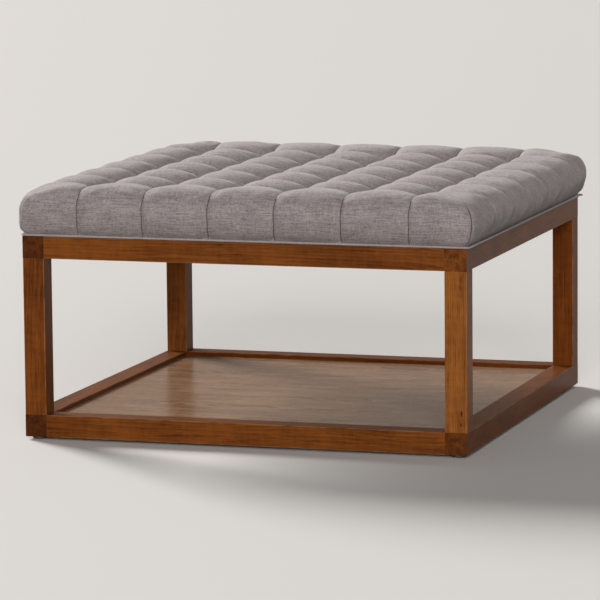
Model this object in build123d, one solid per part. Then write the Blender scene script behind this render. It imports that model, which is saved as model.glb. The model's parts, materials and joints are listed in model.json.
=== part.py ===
from build123d import *
import os
from math import cos, radians, sin

# Ottoman coffee table: an open box frame of square timber with a low shelf and a tufted seat.
# Millimetres, +X to the right, +Y to the back, +Z up. The origin is on the floor, under the
# middle of the table.

# Timber frame
frame_width = 780.0
frame_depth = 780.0
frame_height = 345.0
stock_width = 38.0
rail_height = 38.0
edge_round = 1.0

# Dowels, two in each joint; each bite is how far a dowel reaches into one piece
dowel_diameter = 8.0
dowel_spacing = 18.0
leg_dowel_bite = 15.0
rail_dowel_bite = 22.0
fit_gap = 0.1

# Nail-on glides under the four corners
glide_height = 5.0
glide_diameter = 26.0
glide_chamfer = 1.2
glide_floor = 2.0
nail_diameter = 2.4
nail_head_diameter = 8.0
nail_head_thickness = 1.2
nail_bite = 12.0

# Corner blocks inside the top rails, and the bolts that hold the seat through them
block_leg = 82.0
block_tip = 10.0
block_thickness = 22.0
block_drop = 3.0
block_screw_first = 43.0
block_screw_second = 61.0
block_screw_wood = 12.0
block_screw_bite = 22.0
counterbore_diameter = 10.0
bolt_inset = 30.0
bolt_diameter = 6.0
bolt_bite = 10.0
bolt_head_diameter = 11.0
bolt_head_height = 4.0
bolt_socket_diameter = 4.0
bolt_socket_depth = 2.2
washer_diameter = 16.0
washer_thickness = 1.5
insert_diameter = 10.0
insert_length = 12.0
bolt_hole_gap = 0.6

# Wood screws
screw_diameter = 4.0
screw_head_diameter = 8.0
screw_head_height = 2.5
screw_point = 4.0

# Shelf panel on cleats inside the bottom rails
shelf_recess = 7.0
shelf_thickness = 12.0
shelf_gap = 0.5
cleat_width = 18.0
cleat_height = 15.0
cleat_screw_bite = 16.0
panel_screw_bite = 8.0
cleat_screw_shares = (-0.36, 0.0, 0.36)
panel_screw_shares = (-0.18, 0.18)

# Seat, measured over its cover
seat_overhang = 10.0
seat_thickness = 90.0
edge_cell = 107.5
tuft_count = 6
base_draw = 7.0
edge_roll = 34.0
roll_lift = 1.0
seam_depth = 3.0
side_level_shares = (0.0, 0.16, 0.5, 1.0)
side_draw_shares = (1.0, 0.3, 0.0, 0.15)
roll_angles = (25.0, 50.0, 72.0, 88.0)
layer_gap = 0.3
overrun = 5.0

# How far the quilted top lies below the seat's highest level
seam_drop = 11.0
tuft_drop = 21.0
edge_drop = 2.5
edge_seam_drop = 5.5
rim_seam_drop = 8.0
shoulder_drop = 8.0
corner_drop = 22.0

# Seat layers, from the frame up
hem_thickness = 1.2
hem_width = 52.0
cover_thickness = 1.2
wadding_thickness = 6.0
board_thickness = 15.0
board_clearance = 2.5
piping_diameter = 4.0
piping_proud = 2.0
piping_corner = 6.0
dust_cover_thickness = 0.6
dust_cover_gap = 1.5

# Twine ties that pull the tufts down, and staples under the board
tie_diameter = 1.6
tie_hole_diameter = 6.0
knot_diameter = 10.0
knot_height = 1.0
staple_crown = 11.0
staple_wire = 1.2
staple_flat = 0.6
staple_bite = 8.0
cover_staple_inset = 7.0
dust_staple_inset = 15.0
cover_staple_pitch = 80.0
dust_staple_pitch = 130.0

# Planes and faces that several pieces share
half_width = frame_width / 2
half_depth = frame_depth / 2
inner_x = half_width - stock_width
inner_y = half_depth - stock_width
frame_bottom = glide_height
frame_top = frame_bottom + frame_height
low_rail_top = frame_bottom + rail_height
high_rail_bottom = frame_top - rail_height
shelf_top = low_rail_top - shelf_recess
shelf_bottom = shelf_top - shelf_thickness
block_top = frame_top - block_drop
block_bottom = block_top - block_thickness
seat_half_x = half_width + seat_overhang
seat_half_y = half_depth + seat_overhang
seat_top = frame_top + seat_thickness
cover_base = frame_top + piping_diameter + layer_gap + layer_gap
board_bottom = frame_top + hem_thickness
board_top = board_bottom + board_thickness
board_edge = base_draw + seam_depth + cover_thickness + board_clearance
board_half_x = seat_half_x - board_edge
board_half_y = seat_half_y - board_edge
hem_inner_x = board_half_x - hem_width
hem_inner_y = board_half_y - hem_width
dust_cover_bottom = frame_top - dust_cover_thickness

sides = {"left": -1, "right": 1}
ends = {"front": -1, "back": 1}
wadding_outer = cover_thickness + layer_gap
wadding_inner = wadding_outer + wadding_thickness
foam_outer = wadding_inner + layer_gap


def write(name, solids):
    # One STEP file for one node; a list becomes a group of separate solids.
    shape = Compound(children=list(solids)) if isinstance(solids, list) else solids
    export_step(shape, f"parts/{name}.step")


def box_between(low, high):
    size = [high[axis] - low[axis] for axis in range(3)]
    return Pos(*low) * Box(*size, align=(Align.MIN, Align.MIN, Align.MIN))


def centred_box(half_x, half_y, bottom, top):
    return box_between((-half_x, -half_y, bottom), (half_x, half_y, top))


def rod(start, direction, radius, length):
    # Round rod that begins at a point and runs along a direction.
    shape = Cylinder(radius, length, align=(Align.CENTER, Align.CENTER, Align.MIN))
    return Plane(origin=start, z_dir=direction) * shape


def timber(low, high, along):
    # Squared timber with its four long edges eased.
    piece = box_between(low, high)
    return fillet(piece.edges().filter_by(along), edge_round)


def screw(head, direction, length, gap):
    # Countersunk screw with its head's face at a point, driven along a direction. With a gap
    # it is the hole that the screw fills.
    head_radius = screw_head_diameter / 2 + gap
    shank_radius = screw_diameter / 2 + gap
    cone = Cone(head_radius, shank_radius, screw_head_height,
                align=(Align.CENTER, Align.CENTER, Align.MIN))
    shank = Cylinder(shank_radius, length - screw_point,
                     align=(Align.CENTER, Align.CENTER, Align.MIN))
    point = Pos(0, 0, length - screw_point) * Cone(
        shank_radius, shank_radius / 4, screw_point + gap,
        align=(Align.CENTER, Align.CENTER, Align.MIN))
    return Plane(origin=head, z_dir=direction) * (cone + shank + point)


def corners():
    return [(side, end) for side in sides.values() for end in ends.values()]


# Dowels


def leg_dowel(side, end, joint_z, offset, gap):
    # Upright dowel across the joint between a leg and a side rail.
    length = leg_dowel_bite + leg_dowel_bite + gap + gap
    x = side * (half_width - stock_width / 2)
    y = end * (half_depth - stock_width / 2) + offset
    start = (x, y, joint_z - length / 2)
    return rod(start, (0, 0, 1), dowel_diameter / 2 + gap, length)


def rail_dowel(side, end, joint_z, offset, gap):
    # Level dowel across the joint between a front or back rail and a side rail.
    length = rail_dowel_bite + rail_dowel_bite + gap + gap
    y = end * (half_depth - stock_width / 2) + offset
    start = (side * inner_x - length / 2, y, joint_z)
    return rod(start, (1, 0, 0), dowel_diameter / 2 + gap, length)


def leg_dowels(gap):
    return [leg_dowel(side, end, joint_z, offset, gap)
            for side, end in corners()
            for joint_z in (low_rail_top, high_rail_bottom)
            for offset in (-dowel_spacing / 2, dowel_spacing / 2)]


def rail_dowels(gap):
    # The level dowels lie in the wood that the upright ones leave free.
    free_wood = rail_height - leg_dowel_bite
    return [rail_dowel(side, end, joint_z, offset, gap)
            for side, end in corners()
            for joint_z in (frame_bottom + free_wood / 2, frame_top - free_wood / 2)
            for offset in (-dowel_spacing / 2, dowel_spacing / 2)]


# Glides


def nail(side, end, gap):
    x = side * (half_width - stock_width / 2)
    y = end * (half_depth - stock_width / 2)
    head = rod((x, y, glide_floor), (0, 0, 1), nail_head_diameter / 2, nail_head_thickness)
    shank_length = glide_height - glide_floor + nail_bite + gap
    shank = rod((x, y, glide_floor), (0, 0, 1), nail_diameter / 2 + gap, shank_length)
    return head + shank


def glide_pad(side, end):
    x = side * (half_width - stock_width / 2)
    y = end * (half_depth - stock_width / 2)
    pad = rod((x, y, 0), (0, 0, 1), glide_diameter / 2, glide_height)
    pad = chamfer(pad.edges().group_by(Axis.Z)[0], glide_chamfer)
    return pad - nail(side, end, 0)


# Corner blocks and seat bolts


def block_screw_heads(side, end):
    # Each screw's head point and driving direction, for the two rails that a block joins.
    level = block_bottom + block_thickness / 2
    places = []
    for reach in (block_screw_first, block_screw_second):
        x = side * (inner_x - block_screw_wood)
        y = end * (inner_y - reach)
        places.append(((x, y, level), (side, 0, 0)))
        x = side * (inner_x - reach)
        y = end * (inner_y - block_screw_wood)
        places.append(((x, y, level), (0, end, 0)))
    return places


def block_screws(side, end, gap):
    length = block_screw_wood + block_screw_bite
    return [screw(head, way, length, gap) for head, way in block_screw_heads(side, end)]


def bolt_place(side, end):
    return side * (inner_x - bolt_inset), end * (inner_y - bolt_inset)


def corner_block(side, end):
    # A triangle with cut tips, in the corner between two top rails.
    outline = [(0, 0), (block_leg, 0), (block_leg, block_tip), (block_tip, block_leg),
               (0, block_leg)]
    points = [(side * (inner_x - u), end * (inner_y - v)) for u, v in outline]
    face = Pos(0, 0, block_bottom) * make_face(Polyline(*points, close=True))
    block = extrude(face, amount=block_thickness, dir=(0, 0, 1))
    for head, way in block_screw_heads(side, end):
        back = tuple(-part for part in way)
        block -= rod(head, back, counterbore_diameter / 2, block_leg)
    for hole in block_screws(side, end, fit_gap):
        block -= hole
    x, y = bolt_place(side, end)
    block -= rod((x, y, block_bottom - overrun), (0, 0, 1),
                 bolt_diameter / 2 + bolt_hole_gap / 2, block_thickness + overrun + overrun)
    return block


def seat_washer(side, end):
    x, y = bolt_place(side, end)
    bottom = block_bottom - washer_thickness
    disc = rod((x, y, bottom), (0, 0, 1), washer_diameter / 2, washer_thickness)
    hole_radius = bolt_diameter / 2 + bolt_hole_gap / 2
    return disc - rod((x, y, bottom), (0, 0, 1), hole_radius, washer_thickness)


def seat_bolt(side, end):
    # Socket-head bolt through the block into the insert in the board.
    x, y = bolt_place(side, end)
    head_top = block_bottom - washer_thickness
    head_bottom = head_top - bolt_head_height
    head = rod((x, y, head_bottom), (0, 0, 1), bolt_head_diameter / 2, bolt_head_height)
    head -= rod((x, y, head_bottom), (0, 0, 1), bolt_socket_diameter / 2, bolt_socket_depth)
    shank = rod((x, y, head_top), (0, 0, 1), bolt_diameter / 2,
                board_bottom + bolt_bite - head_top)
    return head + shank


def seat_insert(side, end):
    # Threaded sleeve pressed into the board from below.
    x, y = bolt_place(side, end)
    sleeve = rod((x, y, board_bottom), (0, 0, 1), insert_diameter / 2, insert_length)
    return sleeve - rod((x, y, board_bottom), (0, 0, 1), bolt_diameter / 2 + fit_gap,
                        insert_length)


# Shelf


def cleat_box(name):
    # The front and back cleats run the full length; the side cleats fit between them.
    bottom = shelf_bottom - cleat_height
    if name in ends:
        y = sorted((ends[name] * inner_y, ends[name] * (inner_y - cleat_width)))
        return (-inner_x, y[0], bottom), (inner_x, y[1], shelf_bottom)
    x = sorted((sides[name] * inner_x, sides[name] * (inner_x - cleat_width)))
    reach = inner_y - cleat_width
    return (x[0], -reach, bottom), (x[1], reach, shelf_bottom)


def cleat_screws(name, gap):
    # Level screws from a cleat's inner face into its rail.
    level = shelf_bottom - cleat_height / 2
    length = cleat_width + cleat_screw_bite
    screws = []
    for share in cleat_screw_shares:
        if name in ends:
            head = (share * 2 * inner_x, ends[name] * (inner_y - cleat_width), level)
            screws.append(screw(head, (0, ends[name], 0), length, gap))
        else:
            head = (sides[name] * (inner_x - cleat_width), share * 2 * inner_y, level)
            screws.append(screw(head, (sides[name], 0, 0), length, gap))
    return screws


def panel_screws(name, gap):
    # Upright screws from below a cleat into the shelf panel.
    bottom = shelf_bottom - cleat_height
    length = cleat_height + panel_screw_bite
    screws = []
    for share in panel_screw_shares:
        if name in ends:
            head = (share * 2 * inner_x, ends[name] * (inner_y - cleat_width / 2), bottom)
        else:
            head = (sides[name] * (inner_x - cleat_width / 2), share * 2 * inner_y, bottom)
        screws.append(screw(head, (0, 0, 1), length, gap))
    return screws


def shelf_cleat(name):
    cleat = box_between(*cleat_box(name))
    for hole in cleat_screws(name, fit_gap) + panel_screws(name, fit_gap):
        cleat -= hole
    return cleat


def shelf_panel():
    panel = centred_box(inner_x - shelf_gap, inner_y - shelf_gap, shelf_bottom, shelf_top)
    for name in [*ends, *sides]:
        for hole in panel_screws(name, fit_gap):
            panel -= hole
    return panel


# Timber rails and legs


def frame_holes():
    holes = leg_dowels(fit_gap) + rail_dowels(fit_gap)
    for name in [*ends, *sides]:
        holes += cleat_screws(name, fit_gap)
    for side, end in corners():
        holes += block_screws(side, end, fit_gap)
        holes.append(nail(side, end, fit_gap))
    return holes


def drilled(piece, holes):
    # Cuts only the holes that reach into the piece.
    box = piece.bounding_box()
    for hole in holes:
        other = hole.bounding_box()
        apart = (other.min.X > box.max.X or other.max.X < box.min.X
                 or other.min.Y > box.max.Y or other.max.Y < box.min.Y
                 or other.min.Z > box.max.Z or other.max.Z < box.min.Z)
        if not apart:
            piece -= hole
    return piece


def write_frame():
    holes = frame_holes()
    levels = {"bottom": (frame_bottom, low_rail_top), "top": (high_rail_bottom, frame_top)}
    for level, (low, high) in levels.items():
        for name, side in sides.items():
            x = sorted((side * inner_x, side * half_width))
            rail = timber((x[0], -half_depth, low), (x[1], half_depth, high), Axis.Y)
            write(f"side_rail_{level}_{name}", drilled(rail, holes))
        for name, end in ends.items():
            y = sorted((end * inner_y, end * half_depth))
            rail = timber((-inner_x, y[0], low), (inner_x, y[1], high), Axis.X)
            write(f"{name}_rail_{level}", drilled(rail, holes))
    for end_name, end in ends.items():
        for side_name, side in sides.items():
            x = sorted((side * inner_x, side * half_width))
            y = sorted((end * inner_y, end * half_depth))
            leg = timber((x[0], y[0], low_rail_top), (x[1], y[1], high_rail_bottom), Axis.Z)
            write(f"leg_{end_name}_{side_name}", drilled(leg, holes))
    write("leg_dowels", leg_dowels(0))
    write("rail_dowels", rail_dowels(0))


def write_fittings():
    write("glide_pads", [glide_pad(side, end) for side, end in corners()])
    write("glide_nails", [nail(side, end, 0) for side, end in corners()])
    for end_name, end in ends.items():
        for side_name, side in sides.items():
            write(f"corner_block_{end_name}_{side_name}", corner_block(side, end))
    screws = []
    for side, end in corners():
        screws += block_screws(side, end, 0)
    write("corner_block_screws", screws)
    write("seat_bolts", [seat_bolt(side, end) for side, end in corners()])
    write("seat_washers", [seat_washer(side, end) for side, end in corners()])
    write("seat_inserts", [seat_insert(side, end) for side, end in corners()])


def write_shelf():
    write("shelf_panel", shelf_panel())
    rail_screws = []
    board_screws = []
    for name in [*ends, *sides]:
        write(f"shelf_cleat_{name}", shelf_cleat(name))
        rail_screws += cleat_screws(name, 0)
        board_screws += panel_screws(name, 0)
    write("shelf_cleat_screws", rail_screws)
    write("shelf_panel_screws", board_screws)


# Seat


def seam_places(half):
    # Where the sewn seams cross one side of the seat, measured from its middle.
    first = half - edge_cell
    pitch = 2 * first / (tuft_count - 1)
    return [count * pitch - first for count in range(tuft_count)]


def tuft_places():
    return [(x, y) for x in seam_places(seat_half_x) for y in seam_places(seat_half_y)]


def puffed_outline(reach_x, reach_y, level):
    # Level outline of the seat: seven puffs along each side, drawn in at the seams and corners.
    edge_x = reach_x - seam_depth
    edge_y = reach_y - seam_depth
    along_x = [-edge_x] + seam_places(seat_half_x)
    along_y = [-edge_y] + seam_places(seat_half_y)
    points = [(x, -edge_y) for x in along_x] + [(edge_x, y) for y in along_y]
    points += [(-x, edge_y) for x in along_x] + [(-edge_x, -y) for y in along_y]
    bulges = [(0, -seam_depth), (seam_depth, 0), (0, seam_depth), (-seam_depth, 0)]
    cells = tuft_count + 1
    arcs = []
    for index, start in enumerate(points):
        finish = points[(index + 1) % len(points)]
        bulge = bulges[index // cells]
        middle = [(start[axis] + finish[axis]) / 2 + bulge[axis] for axis in (0, 1)]
        arcs.append(ThreePointArc((*start, level), (*middle, level), (*finish, level)))
    return Face(Wire(arcs))


def side_form(inset):
    # The seat's four puffed sides, drawn in at the base and rolled over at the top edge.
    roll_start = seat_top - edge_roll
    levels = []
    for height, draw in zip(side_level_shares, side_draw_shares):
        levels.append((cover_base + height * (roll_start - cover_base), draw * base_draw))
    last_draw = levels[-1][1]
    radius = edge_roll - inset
    for angle in roll_angles:
        turn = radians(angle)
        rise = (radius + roll_lift) * sin(turn)
        levels.append((roll_start + rise, last_draw + radius * (1 - cos(turn))))
    return loft([puffed_outline(seat_half_x - inset - draw, seat_half_y - inset - draw, level)
                 for level, draw in levels])


def drop(across, along):
    # How far the quilted top lies below the seat's highest level where two kinds of line
    # cross: the rim of the seat, the middle of a rim cell, a seam, or the middle of a cell.
    drops = {
        ("cell", "cell"): 0,
        ("cell", "rim"): edge_drop,
        ("cell", "rim_cell"): 0,
        ("cell", "seam"): seam_drop,
        ("rim", "rim"): corner_drop,
        ("rim", "rim_cell"): shoulder_drop,
        ("rim", "seam"): edge_seam_drop,
        ("rim_cell", "rim_cell"): 0,
        ("rim_cell", "seam"): rim_seam_drop,
        ("seam", "seam"): tuft_drop,
    }
    return drops[tuple(sorted((across, along)))]


def grid_lines(half, inset):
    # The place and kind of each line of the quilted grid, from rim to rim.
    reach = half - inset + overrun
    seams = seam_places(half)
    lines = [(-reach, "rim"), ((seams[0] - reach) / 2, "rim_cell")]
    for start, finish in zip(seams, seams[1:]):
        lines += [(start, "seam"), ((start + finish) / 2, "cell")]
    lines += [(seams[-1], "seam"), ((seams[-1] + reach) / 2, "rim_cell"), (reach, "rim")]
    return lines


def puffed_row(y, along, inset):
    # Upright section across the seat: an arc over each cell, from seam to seam.
    lines = grid_lines(seat_half_x, inset)
    bottom = cover_base - overrun
    tops = [(x, y, seat_top - inset - drop(across, along)) for x, across in lines]
    left = (tops[0][0], y, bottom)
    right = (tops[-1][0], y, bottom)
    edges = [Line(left, tops[0])]
    edges += [ThreePointArc(*tops[index:index + 3]) for index in range(0, len(tops) - 1, 2)]
    edges += [Line(tops[-1], right), Line(right, left)]
    return Face(Wire(edges))


def top_form(inset):
    # The seat's quilted top, one row of puffs at a time from front to back.
    sections = [puffed_row(y, along, inset) for y, along in grid_lines(seat_half_y, inset)]
    rows = [loft(sections[index:index + 3]) for index in range(0, len(sections) - 1, 2)]
    return rows[0].fuse(*rows[1:])


def seat_form(inset):
    # The seat's whole padded form, an inset inside the cover's outer face.
    return (side_form(inset) & top_form(inset)).solid()


def staple(x, y, along_x, top):
    # Staple with its crown's lower face level with the top of what lies below it.
    half = staple_crown / 2
    wire = staple_wire / 2
    crown_size = (half, wire) if along_x else (wire, half)
    shape = box_between((x - crown_size[0], y - crown_size[1], top),
                        (x + crown_size[0], y + crown_size[1], top + staple_flat))
    for way in (-1, 1):
        shift = way * (half - wire)
        leg_x = x + shift if along_x else x
        leg_y = y if along_x else y + shift
        shape += box_between((leg_x - wire, leg_y - wire, top),
                             (leg_x + wire, leg_y + wire, board_bottom + staple_bite))
    return shape


def staple_ring(inset, pitch, top):
    # Staples evenly round the seat's underside, a distance inside the rails' inner faces.
    staples = []
    for half_run, half_across, along_x in ((inner_x, inner_y, True), (inner_y, inner_x, False)):
        line = half_across - inset
        run = half_run - block_leg
        count = int(2 * run / pitch)
        for step in range(count + 1):
            place = 2 * run * step / count - run
            for way in (-1, 1):
                x, y = (place, way * line) if along_x else (way * line, place)
                staples.append(staple(x, y, along_x, top))
    return staples


def tie_top():
    return seat_top - cover_thickness - layer_gap - tuft_drop - tie_diameter / 2


def tuft_ties():
    # Each twine runs from the cover's tuft down through the board to a knot below it.
    ties = []
    for x, y in tuft_places():
        knot_bottom = board_bottom - knot_height
        knot = rod((x, y, knot_bottom), (0, 0, 1), knot_diameter / 2, knot_height)
        twine = rod((x, y, knot_bottom), (0, 0, 1), tie_diameter / 2, tie_top() - knot_bottom)
        ties.append(knot + twine)
    return ties


def tie_holes(radius):
    return [rod((x, y, frame_top), (0, 0, 1), radius, seat_thickness) for x, y in tuft_places()]


def seat_cover(staples):
    # The sewn cover: its puffed shell, a lip over the piping and the hem turned under the board.
    lip_top = cover_base + cover_thickness
    inner = seat_form(cover_thickness)
    inner &= centred_box(seat_half_x, seat_half_y, lip_top, seat_top)
    well = centred_box(board_half_x + fit_gap, board_half_y + fit_gap,
                       board_bottom, lip_top + overrun)
    shell = seat_form(0) - inner - well
    band_x = seat_half_x - base_draw + piping_proud - piping_diameter - fit_gap
    band_y = seat_half_y - base_draw + piping_proud - piping_diameter - fit_gap
    band = centred_box(band_x, band_y, frame_top, cover_base)
    band = fillet(band.edges().filter_by(Axis.Z), piping_corner - piping_diameter / 2)
    band -= centred_box(hem_inner_x, hem_inner_y, frame_top, cover_base)
    cover = shell + (band - well)
    for hole in staples:
        cover -= hole
    return cover


def seat_board(staples):
    board = centred_box(board_half_x, board_half_y, board_bottom, board_top)
    board -= tie_holes(tie_hole_diameter / 2)
    for side, end in corners():
        x, y = bolt_place(side, end)
        board -= rod((x, y, board_bottom), (0, 0, 1), insert_diameter / 2 + fit_gap,
                     insert_length + fit_gap)
    board -= staples
    return board


def seat_wadding():
    # Fibre wrap over the foam and round the board's edge.
    bottom = cover_base + cover_thickness + layer_gap
    wadding = seat_form(wadding_outer)
    wadding &= centred_box(seat_half_x, seat_half_y, bottom, seat_top)
    wadding -= seat_form(wadding_inner) & centred_box(seat_half_x, seat_half_y,
                                                      board_top, seat_top)
    wadding -= centred_box(board_half_x + layer_gap, board_half_y + layer_gap,
                           board_bottom, board_top + layer_gap)
    return wadding - tie_holes(tie_diameter / 2 + layer_gap)


def seat_foam():
    foam = seat_form(foam_outer)
    foam &= centred_box(seat_half_x, seat_half_y, board_top, seat_top)
    return foam - tie_holes(tie_diameter / 2 + layer_gap)


def seat_piping():
    # Covered cord round the seat's base, just above the top rails.
    level = frame_top + layer_gap + piping_diameter / 2
    reach_x = seat_half_x - base_draw + piping_proud - piping_diameter / 2
    reach_y = seat_half_y - base_draw + piping_proud - piping_diameter / 2
    outline = Rectangle(2 * reach_x, 2 * reach_y)
    outline = fillet(outline.vertices(), piping_corner)
    path = Pos(0, 0, level) * outline.wire()
    start = Plane(origin=(0, -reach_y, level), z_dir=(1, 0, 0))
    return sweep(start * Circle(piping_diameter / 2), path=path)


def dust_cover(staples):
    sheet = centred_box(inner_x - dust_cover_gap, inner_y - dust_cover_gap,
                        dust_cover_bottom, frame_top)
    for side, end in corners():
        x, y = bolt_place(side, end)
        sheet -= rod((x, y, dust_cover_bottom), (0, 0, 1),
                     bolt_diameter / 2 + bolt_hole_gap, dust_cover_thickness)
    return sheet - staples


def write_seat():
    cover_staples = staple_ring(cover_staple_inset, cover_staple_pitch, frame_top)
    dust_staples = staple_ring(dust_staple_inset, dust_staple_pitch,
                               dust_cover_bottom - staple_flat)
    write("seat_board", seat_board(cover_staples + dust_staples))
    write("seat_foam", seat_foam())
    write("seat_wadding", seat_wadding())
    write("seat_cover", seat_cover(cover_staples + dust_staples))
    write("seat_piping", seat_piping())
    write("tuft_ties", tuft_ties())
    write("cover_staples", cover_staples)
    write("dust_cover", dust_cover(dust_staples))
    write("dust_cover_staples", dust_staples)


os.makedirs("parts", exist_ok=True)
write_frame()
write_fittings()
write_shelf()
write_seat()
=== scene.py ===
import json
import bmesh
import bpy
import numpy as np
from math import pi, radians
from mathutils import Matrix, Vector, noise


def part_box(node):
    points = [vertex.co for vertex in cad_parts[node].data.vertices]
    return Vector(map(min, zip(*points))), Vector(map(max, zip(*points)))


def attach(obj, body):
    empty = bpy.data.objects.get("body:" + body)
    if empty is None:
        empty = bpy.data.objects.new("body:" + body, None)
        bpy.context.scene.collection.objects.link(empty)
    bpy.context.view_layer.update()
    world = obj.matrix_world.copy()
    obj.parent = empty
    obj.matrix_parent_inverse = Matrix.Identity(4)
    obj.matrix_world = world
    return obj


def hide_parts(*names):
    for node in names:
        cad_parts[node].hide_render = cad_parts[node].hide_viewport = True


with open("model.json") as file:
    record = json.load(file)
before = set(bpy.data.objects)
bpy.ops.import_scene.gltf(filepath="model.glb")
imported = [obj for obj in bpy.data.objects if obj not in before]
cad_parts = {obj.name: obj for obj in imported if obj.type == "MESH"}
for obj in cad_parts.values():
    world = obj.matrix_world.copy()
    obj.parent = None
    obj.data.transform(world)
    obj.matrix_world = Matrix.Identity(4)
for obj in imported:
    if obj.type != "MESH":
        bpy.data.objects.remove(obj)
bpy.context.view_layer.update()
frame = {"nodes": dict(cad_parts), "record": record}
nodes = frame["nodes"]

# Metres, in the CAD frame: +X to the right, +Y to the back, +Z up, floor at zero.


cameraView = {
    "lens": 252.78,
    "sensor": 36,
    "reach": 100,
    "place": (2.17439, -7.02389, 1.2326),
    "yaw": 17.3426,
    "pitch": -7.9976,
    "roll": -0.5308,
}


def newObject(name, data):
    obj = bpy.data.objects.new(name, data)
    bpy.context.collection.objects.link(obj)
    return obj


def meshFrom(bm, name):
    mesh = bpy.data.meshes.new(name)
    bm.to_mesh(mesh)
    bm.free()
    return mesh


def shadeSmooth(mesh):
    for polygon in mesh.polygons:
        polygon.use_smooth = True


def placeCamera():
    data = bpy.data.cameras.new("camera")
    data.lens = cameraView["lens"]
    data.sensor_width = cameraView["sensor"]
    data.clip_end = cameraView["reach"]
    camera = newObject("camera", data)
    turn = Matrix.Rotation(radians(cameraView["yaw"]), 4, "Z")
    turn @= Matrix.Rotation(radians(90 + cameraView["pitch"]), 4, "X")
    turn @= Matrix.Rotation(radians(cameraView["roll"]), 4, "Z")
    camera.matrix_world = Matrix.Translation(cameraView["place"]) @ turn
    bpy.context.scene.camera = camera


placeCamera()
print("camera placed")


def fillInputs(tree, node, inputs):
    for key, value in inputs.items():
        if isinstance(value, bpy.types.NodeSocket):
            tree.links.new(value, node.inputs[key])
        else:
            node.inputs[key].default_value = value


def addNode(tree, kind, inputs=None, **settings):
    node = tree.nodes.new(kind)
    for name, value in settings.items():
        setattr(node, name, value)
    fillInputs(tree, node, inputs or {})
    return node


def calc(tree, operation, *values, clamp=False):
    inputs = dict(enumerate(values))
    return addNode(tree, "ShaderNodeMath", inputs, operation=operation, use_clamp=clamp).outputs[0]


def times(tree, first, second):
    return calc(tree, "MULTIPLY", first, second)


def sumSquares(tree, first, second):
    return calc(tree, "ADD", times(tree, first, first), times(tree, second, second))


def vectorCalc(tree, operation, first, second=None):
    inputs = {0: first} if second is None else {0: first, 1: second}
    return addNode(tree, "ShaderNodeVectorMath", inputs, operation=operation).outputs[0]


def spread(tree, value, low, high, toLow=0.0, toHigh=1.0):
    return addNode(tree, "ShaderNodeMapRange", {0: value, 1: low, 2: high, 3: toLow, 4: toHigh},
                   interpolation_type="SMOOTHSTEP").outputs[0]


def mixColour(tree, factor, first, second):
    inputs = {0: factor, 6: first, 7: second}
    return addNode(tree, "ShaderNodeMix", inputs, data_type="RGBA").outputs[2]


def separate(tree, vector):
    return addNode(tree, "ShaderNodeSeparateXYZ", {0: vector}).outputs


def combine(tree, *values):
    return addNode(tree, "ShaderNodeCombineXYZ", dict(enumerate(values))).outputs[0]


def objectPlace(tree):
    return addNode(tree, "ShaderNodeTexCoord").outputs["Object"]


def noiseField(tree, vector, scale, detail=2.0, roughness=0.5, distortion=0.0):
    inputs = {"Vector": vector, "Scale": scale, "Detail": detail, "Roughness": roughness,
              "Distortion": distortion}
    return addNode(tree, "ShaderNodeTexNoise", inputs).outputs["Fac"]


def addCentred(tree, field, weight, tone, clamp=False):
    away = calc(tree, "SUBTRACT", field, 0.5)
    return calc(tree, "MULTIPLY_ADD", away, weight, tone, clamp=clamp)


def stretchedNoise(tree, vector, amounts, *texture):
    return noiseField(tree, vectorCalc(tree, "MULTIPLY", vector, amounts), 1.0, *texture)


def newGroup(name, inputs, outputs):
    group = bpy.data.node_groups.new(name, "ShaderNodeTree")
    for side, sockets in (("INPUT", inputs), ("OUTPUT", outputs)):
        for label, kind in sockets.items():
            group.interface.new_socket(label, in_out=side, socket_type="NodeSocket" + kind)
    given = group.nodes.new("NodeGroupInput").outputs
    return group, given, group.nodes.new("NodeGroupOutput")


def placeGroup(tree, group, inputs):
    return addNode(tree, "ShaderNodeGroup", inputs, node_tree=group).outputs


def newMaterial(name):
    material = bpy.data.materials.new(name)
    material.use_nodes = True
    return material, material.node_tree, material.node_tree.nodes["Principled BSDF"]


def setSurface(tree, shader, inputs, height, bump):
    bumped = addNode(tree, "ShaderNodeBump",
                     {"Strength": bump[0], "Distance": bump[1], "Height": height})
    fillInputs(tree, shader, {**inputs, "Normal": bumped.outputs[0]})


def paint(obj, material):
    obj.data.materials.clear()
    obj.data.materials.append(material)


# Noise fields of the wood: scale along and across the grain, detail, roughness and distortion
grainFields = {
    "sway": (2.2, 9, 2.0, 0.5, 0.0),
    "ripple": (14, 160, 2.0, 0.5, 0.0),
    "ringTone": (5, 90, 1.0, 0.5, 0.0),
    "fibre": (26, 1500, 3.0, 0.6, 0.0),
    "streak": (7, 260, 3.0, 0.55, 0.0),
    "cloud": (9, 30, 3.0, 0.55, 0.6),
    "shimmer": (120, 34, 2.0, 0.5, 0.0),
    "fleck": (34, 430, 2.0, 0.6, 0.0),
    "pore": (60, 2300, 1.0, 0.5, 0.0),
}

grainLook = {
    "swayWidth": 0.030,
    "ripple": 0.5,  # in rings
    "lateWood": 2.2,  # how narrow the dark part of a ring is
    "ringEnd": (0.93, 1.0),
    "ringTone": (0.25, 0.75, 0.25, 1.0),
    "base": 0.78,
    "figure": -0.75,
    "weights": {"streak": 0.75, "fibre": 0.55, "cloud": 1.15, "shimmer": 0.45},
    "fleck": (0.56, 0.70),
    "fleckWeight": -0.30,
    "pore": (0.60, 0.70),
    "poreShare": 0.55,
    "poreColour": (0.022, 0.009, 0.004, 1),
    "roughness": (0.16, 0.30),
    "poreRoughness": 0.2,
    "fibreHeight": 0.5,
    "lateHeight": -0.4,
}


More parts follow.
